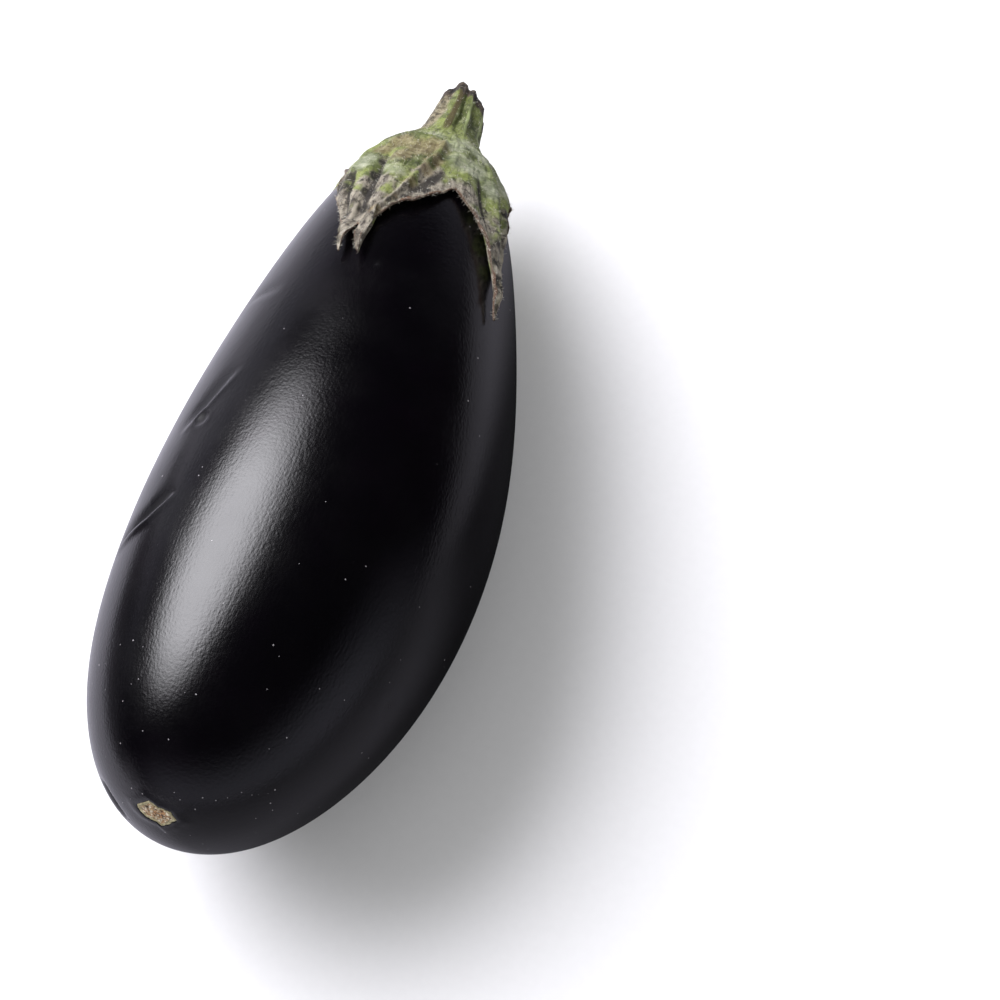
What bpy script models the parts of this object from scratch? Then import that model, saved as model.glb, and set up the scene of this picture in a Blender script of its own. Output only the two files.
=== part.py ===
"""An eggplant as picked, lying on its side: the fruit, the calyx that caps its shoulder, and the cut stem.

The pieces are shaped in the fruit's own frame, whose origin is the fruit's middle and whose +Y runs towards
the stem. A parent empty then lays them down: the stem end tips a little, the lowest part of the skin is pressed
flat on the table at z = 0, and the whole stands centred over the origin. Sizes are in metres.
"""

import math

import bmesh
import bpy
import numpy as np
from mathutils import Vector

# Fruit: an ellipse turned about a bowed core. A station angle runs along it, from 0 at the blossom end to pi
# at the stem end, and c is its cosine. The ellipse's width is multiplied by 1 plus the swell's four values
# times c, c squared, c cubed and c to the fourth. The bow is the core's sideways reach at the middle, and the
# skew moves it towards the blossom end.
FRUIT_LENGTH = 0.192
FRUIT_DIAMETER = 0.082
FRUIT_SWELL = (0.240, -0.035, -0.089, 0.143)
CORE_BOW = 0.0098
CORE_SKEW = 0.63
FRUIT_SEGMENTS = 48
FRUIT_RINGS = 34

# How it lies: the stem end sinks by the tilt, and the skin is pressed flat where it carries the weight.
REST_TILT = math.radians(4.8)
FLAT_DEPTH = 0.0008

# Calyx: a fused cap with a hole for the stem, split into five sepals. Each sepal is its angle round the core
# in degrees, counted from +X towards +Z, and how far its tip reaches from the pole along the skin.
CLEARANCE = 0.0003
CALYX_THICKNESS = 0.0020
CAP_REACH = 0.037
SEPALS = ((39, 0.069), (107, 0.066), (180, 0.060), (252, 0.064), (325, 0.058))
SEPAL_HALF_ANGLE = 35
SEPAL_POINT = 1.6
CALYX_COLUMNS = 90
CALYX_ROWS = 9

# Stem: it leaves the pole along the core, bends a little towards +X and is cut off at a slant. Its length is
# from the pole to the middle of the cut, and its foot is hollowed to sit on the skin inside the calyx's hole.
STEM_LENGTH = 0.0175
STEM_BASE_DIAMETER = 0.0175
STEM_NECK_DIAMETER = 0.0140
STEM_END_DIAMETER = 0.0112
STEM_LEAN = 0.0010
STEM_CUT_SLANT = math.radians(30)
STEM_POINTS = 9
STEM_BEVEL_RESOLUTION = 5
CUT_ALLOWANCE = 0.002

TABLE_SIZE = 0.5
SMALL_STEP = 1e-4


def clear_scene():
    for obj in list(bpy.data.objects):
        bpy.data.objects.remove(obj)


def new_collection(name):
    collection = bpy.data.collections.new(name)
    bpy.context.scene.collection.children.link(collection)
    return collection


def material(name, colour, roughness):
    made = bpy.data.materials.new(name)
    made.use_nodes = True
    shader = made.node_tree.nodes["Principled BSDF"]
    shader.inputs["Base Color"].default_value = (*colour, 1)
    shader.inputs["Roughness"].default_value = roughness
    shader.inputs["Metallic"].default_value = 0
    made.diffuse_color = (*colour, 1)
    return made


def place(name, shape, collection, finish=None, parent=None):
    """Turns a bmesh into an object."""
    mesh = bpy.data.meshes.new(name)
    shape.to_mesh(mesh)
    shape.free()
    mesh.shade_smooth()
    if finish:
        mesh.materials.append(finish)
    made = bpy.data.objects.new(name, mesh)
    collection.objects.link(made)
    made.parent = parent
    return made


def place_cutter(name, shape, collection, parent=None):
    cutter = place(name, shape, collection, parent=parent)
    cutter.hide_render = True
    cutter.display_type = "WIRE"
    return cutter


def cube_shape(size):
    shape = bmesh.new()
    bmesh.ops.create_cube(shape, size=size)
    return shape


def cut(piece, cutter):
    boolean = piece.modifiers.new(cutter.name, "BOOLEAN")
    boolean.operation = "DIFFERENCE"
    boolean.object = cutter
    boolean.solver = "EXACT"


def relative_width(station):
    c = np.cos(station)
    swell = 1 + sum(value * c ** (power + 1) for power, value in enumerate(FRUIT_SWELL))
    return np.sin(station) * swell


def fruit_radius(station):
    """The radius of the fruit's round section at a station."""
    widest = relative_width(np.linspace(0, math.pi, 721)).max()
    return FRUIT_DIAMETER / 2 * relative_width(station) / widest


def core_point(station):
    c = math.cos(station)
    return Vector((CORE_BOW * (1 - c**2) * (1 + CORE_SKEW * c), -FRUIT_LENGTH / 2 * c, 0))


def core_direction(station):
    """The core's direction towards the stem, from the slope of its bow."""
    c = math.cos(station)
    slope = CORE_BOW * ((1 - c**2) * CORE_SKEW - 2 * c * (1 + CORE_SKEW * c)) / (-FRUIT_LENGTH / 2)
    return Vector((slope, 1, 0)).normalized()


def fruit_point(station, angle):
    """A point of the skin, at a station and an angle round the core, counted from +X towards +Z."""
    forward = core_direction(station)
    side = Vector((forward.y, -forward.x, 0))
    out = math.cos(angle) * side + math.sin(angle) * Vector((0, 0, 1))
    return core_point(station) + float(fruit_radius(station)) * out


def fruit_normal(station, angle):
    along = fruit_point(station + SMALL_STEP, angle) - fruit_point(station - SMALL_STEP, angle)
    around = fruit_point(station, angle + SMALL_STEP) - fruit_point(station, angle - SMALL_STEP)
    return along.cross(around).normalized()


def station_at_reach(reach, angle):
    """The station that lies a distance from the stem's pole, measured along the skin."""
    stations = np.linspace(math.pi, math.pi / 4, 200)
    points = np.array([fruit_point(station, angle) for station in stations])
    steps = np.linalg.norm(np.diff(points, axis=0), axis=1)
    return float(np.interp(reach, np.append(0, np.cumsum(steps)), stations))


def station_at_radius(radius):
    """The station on the stem's side where the fruit is this wide."""
    stations = np.linspace(math.pi, math.pi / 2, 400)
    return float(np.interp(radius, fruit_radius(stations), stations))


def fruit_shape(lift=0.0):
    """A UV sphere whose points move to the fruit's own stations and angles, and a lift out from its skin."""
    shape = bmesh.new()
    bmesh.ops.create_uvsphere(shape, u_segments=FRUIT_SEGMENTS, v_segments=FRUIT_RINGS, radius=1)
    for vertex in shape.verts:
        station = math.acos(max(-1, min(1, vertex.co.z)))
        vertex.co = fruit_point(station, math.atan2(vertex.co.y, vertex.co.x))
    bmesh.ops.recalc_face_normals(shape, faces=shape.faces)
    for vertex in shape.verts:
        vertex.normal_update()
    lifted = [vertex.co + lift * vertex.normal for vertex in shape.verts]
    for vertex, point in zip(shape.verts, lifted):
        vertex.co = point
    return shape


def sepal_reach(angle):
    """How far the calyx reaches down the skin at an angle: as far as the cap, or further along a sepal."""
    reach = CAP_REACH
    for middle, tip in SEPALS:
        away = abs((math.degrees(angle) - middle + 180) % 360 - 180) / SEPAL_HALF_ANGLE
        if away < 1:
            reach = max(reach, CAP_REACH + (tip - CAP_REACH) * (1 - away) ** SEPAL_POINT)
    return reach


def make_calyx(collection, finish, parent):
    """A grid laid over the shoulder from the stem's hole to the sepals' edge, given its thickness outwards."""
    shape = bmesh.new()
    hole = station_at_radius(STEM_BASE_DIAMETER / 2 + CLEARANCE)
    columns = []
    for column in range(CALYX_COLUMNS):
        angle = 2 * math.pi * column / CALYX_COLUMNS
        edge = station_at_reach(sepal_reach(angle), angle)
        stations = np.linspace(hole, edge, CALYX_ROWS)
        lifted = [fruit_point(s, angle) + CLEARANCE * fruit_normal(s, angle) for s in stations]
        columns.append([shape.verts.new(point) for point in lifted])
    for here, beside in zip(columns, columns[1:] + columns[:1]):
        for row in range(CALYX_ROWS - 1):
            shape.faces.new((here[row], beside[row], beside[row + 1], here[row + 1]))
    calyx = place("calyx", shape, collection, finish, parent)
    thickness = calyx.modifiers.new("thickness", "SOLIDIFY")
    thickness.thickness = CALYX_THICKNESS
    thickness.offset = 1
    return calyx


def stem_radius(share):
    """Half the stem's width at a share of its length: a straight taper, with a foot that flares."""
    above = max(0, share)
    taper = STEM_NECK_DIAMETER + (STEM_END_DIAMETER - STEM_NECK_DIAMETER) * above
    return (taper + (STEM_BASE_DIAMETER - STEM_NECK_DIAMETER) * max(0, 1 - above) ** 2) / 2


def stem_point(share):
    forward = core_direction(math.pi)
    side = Vector((forward.y, -forward.x, 0))
    return core_point(math.pi) + STEM_LENGTH * share * forward + STEM_LEAN * share**2 * side


def stem_curve(collection, start_share, end_share):
    """A bevelled curve from inside the fruit's end to a little past the cut."""
    line = bpy.data.curves.new("stem_line", "CURVE")
    line.dimensions = "3D"
    line.bevel_depth = 1
    line.bevel_resolution = STEM_BEVEL_RESOLUTION
    line.use_fill_caps = True
    spline = line.splines.new("POLY")
    spline.points.add(STEM_POINTS - 1)
    for point, share in zip(spline.points, np.linspace(start_share, end_share, STEM_POINTS).tolist()):
        point.co = (*stem_point(share), 1)
        point.radius = stem_radius(share)
    drawn = bpy.data.objects.new("stem_line", line)
    collection.objects.link(drawn)
    return drawn


def cut_stem_end(stem, cutters, parent):
    """Cuts the stem at a slant that leaves it longest on its -X side."""
    forward = core_direction(math.pi)
    side = Vector((forward.y, -forward.x, 0))
    facing = math.cos(STEM_CUT_SLANT) * forward + math.sin(STEM_CUT_SLANT) * side
    size = 2 * STEM_LENGTH
    knife = place_cutter("stem_knife", cube_shape(size), cutters, parent)
    knife.rotation_mode = "QUATERNION"
    knife.rotation_quaternion = facing.to_track_quat("Y", "Z")
    knife.location = stem_point(1) + size / 2 * facing
    cut(stem, knife)


def make_stem(collection, finish, cutters, parent):
    """The stem's curve made a mesh, with its foot hollowed by the lifted skin and its end cut off."""
    foot = FRUIT_LENGTH / 2 - core_point(station_at_radius(STEM_BASE_DIAMETER / 2)).y
    rise = STEM_END_DIAMETER / 2 * math.tan(STEM_CUT_SLANT)
    start_share = -(foot + CUT_ALLOWANCE) / STEM_LENGTH
    end_share = 1 + (rise + CUT_ALLOWANCE) / STEM_LENGTH
    drawn = stem_curve(collection, start_share, end_share)
    bpy.context.view_layer.update()
    evaluated = drawn.evaluated_get(bpy.context.evaluated_depsgraph_get())
    shape = bmesh.new()
    shape.from_mesh(bpy.data.meshes.new_from_object(evaluated))
    bmesh.ops.remove_doubles(shape, verts=shape.verts, dist=1e-6)
    bpy.data.objects.remove(drawn)
    stem = place("stem", shape, collection, finish, parent)
    cut(stem, place_cutter("lifted_skin", fruit_shape(CLEARANCE), cutters, parent))
    cut_stem_end(stem, cutters, parent)
    return stem


def bounds(objects):
    """The lowest and the highest corner of the objects as they stand."""
    bpy.context.view_layer.update()
    graph = bpy.context.evaluated_depsgraph_get()
    evaluated = [obj.evaluated_get(graph) for obj in objects]
    points = np.array([obj.matrix_world @ vertex.co for obj in evaluated for vertex in obj.data.vertices])
    return points.min(axis=0), points.max(axis=0)


def lay_down(parent, fruit, others, cutters):
    """Sinks the fruit by the flat's depth, centres the whole over the origin and cuts the flat at z = 0."""
    low, _ = bounds([fruit])
    parent.location.z = -low[2] - FLAT_DEPTH
    low, high = bounds([fruit, *others])
    parent.location.x = -(low[0] + high[0]) / 2
    parent.location.y = -(low[1] + high[1]) / 2
    table = place_cutter("table", cube_shape(TABLE_SIZE), cutters)
    table.location.z = -TABLE_SIZE / 2
    cut(fruit, table)


def main():
    clear_scene()
    eggplant = new_collection("eggplant")
    cutters = new_collection("cutters")
    lying = bpy.data.objects.new("lying", None)
    lying.rotation_euler.x = -REST_TILT
    eggplant.objects.link(lying)

    skin = material("eggplant skin", (0.012, 0.008, 0.016), 0.22)
    green = material("calyx green", (0.21, 0.24, 0.10), 0.7)
    bark = material("stem bark", (0.24, 0.28, 0.11), 0.65)
    fruit = place("fruit", fruit_shape(), eggplant, skin, lying)
    calyx = make_calyx(eggplant, green, lying)
    stem = make_stem(eggplant, bark, cutters, lying)
    lay_down(lying, fruit, [calyx, stem], cutters)


main()
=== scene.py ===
"""Eggplant lying on its side: glossy skin with its blossom scar, and the calyx grown into the cut stem."""

import math

import bpy
import numpy as np
from bpy.props import FloatProperty, FloatVectorProperty, PointerProperty
from mathutils import Matrix, Vector


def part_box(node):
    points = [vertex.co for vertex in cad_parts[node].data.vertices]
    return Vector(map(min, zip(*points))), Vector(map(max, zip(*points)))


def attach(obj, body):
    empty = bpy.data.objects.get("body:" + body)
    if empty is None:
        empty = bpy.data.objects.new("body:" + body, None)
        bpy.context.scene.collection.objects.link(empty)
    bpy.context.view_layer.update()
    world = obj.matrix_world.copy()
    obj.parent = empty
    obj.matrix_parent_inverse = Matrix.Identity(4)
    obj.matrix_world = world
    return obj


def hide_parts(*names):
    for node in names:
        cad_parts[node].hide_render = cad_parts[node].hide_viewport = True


bl_info = {
    "name": "Eggplant",
    "version": (1, 0, 0),
    "blender": (4, 5, 0),
    "location": "3D View > Sidebar > Eggplant",
    "description": "Builds an eggplant lying on its side, with its calyx, stem and a plain studio",
    "category": "Add Mesh",
}

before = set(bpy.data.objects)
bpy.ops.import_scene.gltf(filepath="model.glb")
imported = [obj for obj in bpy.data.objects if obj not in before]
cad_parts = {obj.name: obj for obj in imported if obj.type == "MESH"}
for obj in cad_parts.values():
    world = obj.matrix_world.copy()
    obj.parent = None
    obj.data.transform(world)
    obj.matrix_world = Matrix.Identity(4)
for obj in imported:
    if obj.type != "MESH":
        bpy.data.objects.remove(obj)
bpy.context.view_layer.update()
FRUIT_LOW, FRUIT_HIGH = (np.array(corner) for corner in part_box("fruit"))

MM = 0.001
# The step in radians for slopes, and the nearest that a station comes to a pole.
EPSILON = 1e-3

# The fruit is an ellipse turned about a bowed core. A station angle runs from 0 at the blossom end to pi at
# the stem end, and c is its cosine. The ellipse's width is multiplied by 1 plus these values times c, c
# squared, c cubed and c to the fourth.
FRUIT_SWELL = (0.240, -0.035, -0.089, 0.143)
SKIN_ROWS = 320
SKIN_COLUMNS = 300

# Where the skin's rows and columns stand closer together: (centre, width) in degrees and how many times
# closer.
CROWDED_ROWS = ((67, 7, 3.0), (89, 7, 1.4), (6, 12, 1.2))
CROWDED_COLUMNS = ((146, 22, 2.4),)

# Creases in the skin: a line of (station, angle) points in degrees, then the width of the hollow on the
# stem's side, its depth, and the bulge on the blossom's side, in millimetres. With no bulge it is a plain
# long dent.
CREASES = (
    (((62.6, 163), (64.5, 151), (67, 140), (71.2, 130.5)), 3.0, 1.50, 0.50),
    (((82.5, 144), (87, 136), (94, 128)), 3.2, 0.52, 0.20),
    (((108.7, 152), (109.3, 129)), 2.8, 0.30, 0.12),
    (((14.5, 171), (12.3, 172.5), (9.6, 172), (6.6, 177), (4.0, 192), (3.2, 235)), 1.7, 1.30, 0.0),
    (((118, 262), (112, 238)), 3.0, 0.35, 0.15),
    (((48, 318), (60, 330)), 2.5, 0.30, 0.10),
)
# How sharp the blossom's side of a crease is, for one a millimetre deep; a deeper one is sharper.
CREASE_SHARPNESS = 0.5 * MM
# Slow swells of the whole skin, in millimetres: three round, five round, and uneven.
SWELLS = (0.30, 0.22, 0.28)
# The ring of skin round the scar and the bed under it, in millimetres.
SCAR_RING, SCAR_BED = 0.24, 0.75
# Round dents: (station, angle) in degrees, radius and depth in millimetres.
PITS = (
    ((84.3, 134), 1.5, 0.36),
    ((115.3, 93.5), 0.9, 0.13),
    ((58.0, 20.0), 2.4, 0.12),
    ((95.0, 225.0), 3.0, 0.25),
    ((40.0, 290.0), 2.0, 0.22),
)
# The blossom scar: its middle's station and angle, how far its long side is turned from level, and its
# outline in millimetres along and across.
SCAR_PLACE = (13.1, 61.0)
SCAR_TURN = math.radians(180)
SCAR_OUTLINE = (
    (-5.3, 0.3), (-4.4, 1.5), (-2.5, 2.8), (0.45, 2.5), (1.7, 3.4), (3.3, 1.9), (5.1, -0.1), (3.1, -2.2),
    (0.4, -2.1), (-2.35, -2.8),
)
# The scar's face over the skin and its underside in the bed, in millimetres.
SCAR_FACE, SCAR_UNDER = 0.12, -0.9
# The dark pit: where it lies along and across the scar, its radius and its depth, in millimetres.
SCAR_PIT = (-2.4, -0.3, 0.5, 0.5)
SCAR_RINGS = 30
SCAR_COLUMNS = 150

# The calyx's outline as (angle round the core in degrees, reach from the pole along the skin in millimetres),
# one list for each sepal, from the notch before it to its tip and on to the next notch.
SEPALS = (
    ((-8, 28), (3, 26.5), (14, 27), (21, 28.5), (25.5, 32), (28.5, 37), (31, 42), (34, 47), (36.6, 53),
     (37.6, 60.6), (38.7, 66), (39.4, 70.8), (41, 66), (42.6, 60.5), (46, 53.5), (52.5, 46.0), (60, 41.0)),
    ((68.5, 37.0), (75, 40.3), (81, 42.8), (86.5, 46.4), (90, 47.2), (93.5, 48.2), (98.5, 51.2),
     (103.2, 55.0), (102.8, 61.0), (101.2, 67.6), (104.2, 64.5), (106.4, 60.5), (108.6, 56.2),
     (109.2, 60.5), (110.0, 67.0), (112.6, 62.0), (116, 57), (122, 52), (130, 45), (137, 39)),
    ((146, 32), (157, 31), (168, 33), (178, 38), (186, 44.5), (192, 51.5), (196, 58), (199, 53), (205, 46),
     (212, 40), (216, 37)),
    ((221, 35), (229, 40), (237, 46), (244, 52.5), (249, 59), (251.5, 66), (254, 60), (259, 51.5),
     (267, 45), (276, 38.5)),
    ((280, 35), (287, 39), (294, 44), (300, 49), (304, 53), (307, 57), (311, 52), (317, 45), (323, 36.5),
     (331, 30), (344, 27.5)),
)

# Folds of the calyx, each a line of (angle, reach) points, with its half width and its height in millimetres,
# below zero for a groove.
FOLDS = (
    (((115, 29), (113.5, 36), (111.5, 44), (109.5, 52), (108.8, 56)), 1.15, -1.9),
    (((130, 34), (124, 41), (119, 49), (115.5, 57)), 0.7, -0.8),
    (((82, 20), (84, 28), (90, 35), (95, 44), (101, 52), (106, 58)), 0.8, 1.5),
    (((74, 31), (82, 37), (88, 42), (93, 46)), 2.2, -0.95),
    (((124, 30), (120, 38), (116, 47), (113, 56)), 1.5, 0.55),
    (((84, 22), (96, 19.5), (109, 19.5), (123, 21.5)), 2.0, 0.95),
    (((108, 24), (104, 36), (102, 48), (101.5, 62)), 1.6, 0.5),
    (((134, 28), (129, 38), (123, 49)), 1.6, 0.8),
    (((44, 16), (41, 30), (40, 48), (39.5, 66)), 1.5, 0.7),
    (((27, 31), (31.5, 42), (35.6, 51), (37.7, 60)), 0.7, 0.6),
    (((32, 28), (35.5, 40), (38.2, 52)), 1.0, -0.6),
    (((56, 26), (51, 38), (46, 50)), 1.0, -0.5),
    (((60, 20), (70, 24), (80, 33)), 1.1, 0.45),
    (((188, 18), (190, 32), (193, 44), (195.5, 55)), 1.7, 0.8),
    (((172, 24), (179, 34), (186, 43)), 1.3, -0.9),
    (((206, 24), (204, 34), (200, 44)), 1.2, -0.7),
    (((250, 18), (250, 36), (250.5, 50), (251, 62)), 1.7, 0.8),
    (((238, 26), (242, 38), (246, 50)), 1.3, -0.8),
    (((265, 26), (260, 38), (256, 48)), 1.2, -0.6),
    (((310, 18), (309, 34), (308.5, 46), (307.5, 54)), 1.7, 0.7),
    (((296, 24), (300, 36), (303, 46)), 1.2, -0.8),
    (((325, 22), (320, 32), (315, 43)), 1.2, -0.6),
    (((12, 14), (2, 20), (-4, 26)), 2.2, -0.5),
    (((146, 15), (147, 26), (147, 34)), 2.2, -0.6),
    (((214, 15), (217, 25), (217, 33)), 2.2, -0.5),
    (((284, 15), (283, 25), (283, 33)), 2.2, -0.5),
)
# Patches of colour on the calyx: (angle, reach) of the middle and radius in millimetres.
RUST_PATCHES = (
    ((97, 25), 5.5), ((113, 23), 5.0), ((122, 27), 3.5), ((87, 23), 5.0), ((84.5, 29.5), 3.4),
    ((88, 34), 2.8), ((93, 40), 2.6), ((98, 47), 2.2), ((103, 52), 2.2), ((190, 25), 7.0),
    ((240, 22), 5.0), ((262, 34), 5.0), ((318, 26), 7.0), ((34, 51), 1.8), ((36.5, 58), 1.8),
    ((105, 30), 4.0),
)
# Dark patches: dark mottling of the dried sepals, and painted shade along the grooves beside the folds.
MOTTLE_AND_SHADE_PATCHES = (
    ((132, 40), 4.0), ((127, 44), 2.6), ((114.5, 32), 1.7), ((113, 38), 2.1), ((111, 45), 2.2),
    ((109.5, 51), 1.9), ((83, 42), 1.5), ((91, 46), 1.8), ((97, 49), 2.2), ((40, 48), 2.2),
    ((39.5, 60), 3.0), ((39.2, 67), 2.6), ((41, 54), 2.0), ((103, 63), 2.0), ((110, 64), 2.0),
    ((28, 33), 2.0), ((117, 53), 1.6), ((190, 42), 5.0), ((212, 30), 4.0), ((246, 50), 5.0),
    ((300, 38), 5.0), ((326, 36), 4.0),
)
# Pale whitish patches on the green cap: painted sheen, where soft highlights would fall.
PAINTED_SHEEN_PATCHES = (
    ((57, 26), 5.0), ((68, 26), 4.5), ((74, 20), 4.0), ((47, 18), 4.0), ((44, 30), 4.0), ((110, 36), 2.2),
    ((126, 33), 4.2), ((102, 37), 2.8), ((60, 14), 5.0), ((98, 15), 4.0), ((27, 24), 4.0),
    ((160, 26), 6.0), ((228, 28), 5.0), ((350, 20), 6.0),
)
# Round the stem: angle and half width in degrees, and height in millimetres, below zero for a groove.
FLUTES = (
    (62, 7, 0.75), (75, 6, -0.75), (98, 13, 0.55), (120, 8, -0.35), (143, 16, 0.45), (44, 7, -0.35),
    (24, 12, 0.5), (2, 8, -0.4), (-22, 12, 0.4), (170, 9, -0.4), (196, 13, 0.5), (222, 8, -0.5),
    (250, 13, 0.5), (280, 9, -0.4), (306, 12, 0.5),
)
CORKY_SIDES = ((137, 27), (262, 26))
STRIPES = ((93, 9), (316, 12))
PALE_RIDGES = ((62, 5), (24, 7), (196, 8))
CALYX_COLUMNS = 480
CUT_ROWS = 9
STEM_ROWS = 40
WEB_ROWS = 22
SEPAL_ROWS = 84
EDGE_ROWS = 4
UNDER_ROWS = 20
# Where the stem's flare hands over to the cap: how far out from the pole, and how far along the skin.
WEB_OUT = (5.2 * MM, -1.5 * MM)
WEB_REACH = (6.5 * MM, 16.5 * MM)

# Hairs: how many, their sides, their shortest and longest, and how thick at the foot and halfway, in
# millimetres.
HAIRS = 3200
HAIR_SIDES = 3
HAIR_LENGTHS = (0.4, 1.15)
HAIR_FOOT, HAIR_HALFWAY = 0.045, 0.035
# How many times thicker the hairs stand along the sepals' edge, and over how many rows of faces in from it.
EDGE_HAIRS, EDGE_HAIR_ROWS = 7, 3

FLOOR_SIDE = 12.0
LENS = 100
# The softbox: azimuth and elevation in degrees, distance, width and height in metres, and its colour.
SOFTBOX = (-101, 47, 1.1, 1.80, 1.26)
SOFTBOX_COLOUR = (0.96, 0.95, 1.0)


# ---------------------------------------------------------------- settings


def metres(name, description, default):
    """A length."""
    return FloatProperty(name=name, description=description, default=default, unit="LENGTH")


def turned(name, description, degrees):
    """An angle, given in degrees."""
    return FloatProperty(name=name, description=description, default=math.radians(degrees), subtype="ANGLE")


def amount(name, description, default):
    """A plain number."""
    return FloatProperty(name=name, description=description, default=default)


def paint(name, description, default):
    """A colour."""
    return FloatVectorProperty(name=name, description=description, default=default, subtype="COLOR", size=3)


class FruitSettings(bpy.types.PropertyGroup):
    length: metres("Length", "From the blossom end to the stem's pole", 0.192)
    diameter: metres("Diameter", "Across the widest part", 0.082)
    bow: metres("Bow", "Sideways reach of the core at its middle", 0.0098)
    skew: amount("Skew", "Moves the bow towards the blossom end", 0.63)
    tilt: turned("Rest Tilt", "How far the stem end sinks", 4.8)
    flat_softness: metres("Flat Softness", "How gently the skin meets the table", 0.0002)
    colour: paint("Skin Colour", "Deep aubergine of the skin", (0.0006, 0.0004, 0.0009))
    blush: paint("Blush Colour", "Purple where the skin is thinner", (0.0022, 0.0006, 0.0026))


class CalyxSettings(bpy.types.PropertyGroup):
    cap_thickness: metres("Cap Thickness", "Flesh of the calyx near the stem", 0.0023)
    edge_thickness: metres("Edge Thickness", "Thickness at the sepals' edge", 0.0006)
    edge_lift: metres("Edge Lift", "Gap under the sepals' edge", 0.0007)
    fresh: paint("Fresh Colour", "Yellow-green flesh", (0.200, 0.240, 0.050))
    deep: paint("Deep Colour", "Darker green flesh", (0.065, 0.085, 0.013))
    dried: paint("Dried Colour", "Grey-tan of the dried sepals", (0.300, 0.270, 0.212))
    bark: paint("Cork Colour", "Brown cork and mottling", (0.040, 0.026, 0.014))


class StemSettings(bpy.types.PropertyGroup):
    length: metres("Length", "From the pole to the middle of the cut", 0.0156)
    base: metres("Base", "Diameter at the calyx", 0.0178)
    neck: metres("Neck", "Diameter above the flare", 0.0148)
    end: metres("End", "Diameter at the cut", 0.0112)
    ridge: amount("Ridges", "Height of the stem's ridges, as a share", 1.0)


class StageSettings(bpy.types.PropertyGroup):
    azimuth: turned("Azimuth", "Camera round the fruit", 30.83)
    elevation: turned("Elevation", "Camera above the table", 66)
    distance: metres("Distance", "Camera to the fruit's middle", 0.6568)
    aim_right: metres("Aim Right", "How far beside the fruit the camera aims", 0.0456)
    aim_up: metres("Aim Up", "How far above the fruit the camera aims", -0.0163)
    floor: paint("Floor Colour", "Pale paper floor", (0.70, 0.70, 0.71))
    softbox_power: amount("Softbox Power", "Main light, in watts", 89.0)
    ambient: amount("Ambient", "Light from all round on matte surfaces", 0.66)
    floor_shine: amount("Floor In Skin", "How strongly the floor shows in the glossy skin", 0.64)


SETTINGS = {
    "eggplant_fruit": FruitSettings,
    "eggplant_calyx": CalyxSettings,
    "eggplant_stem": StemSettings,
    "eggplant_stage": StageSettings,
}


# ---------------------------------------------------------------- the fruit's shape


def relative_width(station):
    """The sine of the station times the swell's polynomial in its cosine."""
    c = np.cos(station)
    return np.sin(station) * (1 + sum(value * c ** (k + 1) for k, value in enumerate(FRUIT_SWELL)))


def fruit_radius(station):
    """Half the diameter times the relative width, measured against the widest."""
    fruit = bpy.context.scene.eggplant_fruit
    return fruit.diameter / 2 * relative_width(station) / relative_width(np.linspace(0, np.pi, 2001)).max()


def own_point(station, angle):
    """The core's point at the station, plus the radius times the section's direction at the angle.

    The core is x = bow (1 - c c)(1 + skew c), y = -length / 2 c. The section stands square to it.
    """
    fruit = bpy.context.scene.eggplant_fruit
    c = np.cos(station)
    slope = fruit.bow * ((1 - c**2) * fruit.skew - 2 * c * (1 + fruit.skew * c)) / (-fruit.length / 2)
    stretch = np.sqrt(1 + slope**2)
    radius = fruit_radius(station)
    x = fruit.bow * (1 - c**2) * (1 + fruit.skew * c) + radius * np.cos(angle) / stretch
    y = -fruit.length / 2 * c - radius * np.cos(angle) * slope / stretch
    return np.stack(np.broadcast_arrays(x, y, radius * np.sin(angle)), axis=-1)


def tilted(points):
    """Turned about X so that the stem end sinks by the rest tilt."""
    tilt = -bpy.context.scene.eggplant_fruit.tilt
    turn = np.array(Matrix.Rotation(tilt, 3, "X"))
    return points @ turn.T


def resting_place():
    """The move that puts the tilted fruit's box where the frame's fruit has it, by its sides and top."""
    station, angle = np.meshgrid(np.linspace(0, np.pi, 361), np.linspace(0, 2 * np.pi, 361), indexing="ij")
    points = tilted(own_point(station, angle)).reshape(-1, 3)
    low, high = points.min(axis=0), points.max(axis=0)
    middle = (FRUIT_LOW + FRUIT_HIGH) / 2 - (low + high) / 2
    return np.array([middle[0], middle[1], FRUIT_HIGH[2] - high[2]])


def skin(station, angle, height=0.0):
    """A point of the skin lifted by a height along its normal, and laid down in its place.

    The normal is the cross product of the surface's two slopes, by differences of a small step.
    """
    station = np.clip(station, EPSILON, np.pi - EPSILON)
    step = EPSILON / 2
    along = own_point(station + step, angle) - own_point(station - step, angle)
    around = own_point(station, angle + step) - own_point(station, angle - step)
    normal = np.cross(along, around)
    normal /= np.linalg.norm(normal, axis=-1, keepdims=True)
    point = own_point(station, angle) + np.asarray(height)[..., None] * normal
    return tilted(point) + resting_place(), tilted(normal)


def reach_table():
    """Stations from the stem's pole down, and how far each lies from it along the straight profile."""
    fruit = bpy.context.scene.eggplant_fruit
    stations = np.linspace(np.pi, 0, 1500)
    profile = np.stack([fruit_radius(stations), -fruit.length / 2 * np.cos(stations)], axis=-1)
    steps = np.linalg.norm(np.diff(profile, axis=0), axis=1)
    return stations, np.append(0, np.cumsum(steps))


def station_at(reach):
    """The station that lies a given reach from the stem's pole, read from the table."""
    stations, reaches = reach_table()
    return np.interp(reach, reaches, stations)


# ---------------------------------------------------------------- mesh and noise helpers


def smoothstep(low, high, value):
    """The share of the way from low to high, within 0 and 1, as 3 times its square minus twice its cube."""
    share = np.clip((value - low) / (high - low), 0, 1)
    return share * share * (3 - 2 * share)


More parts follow.
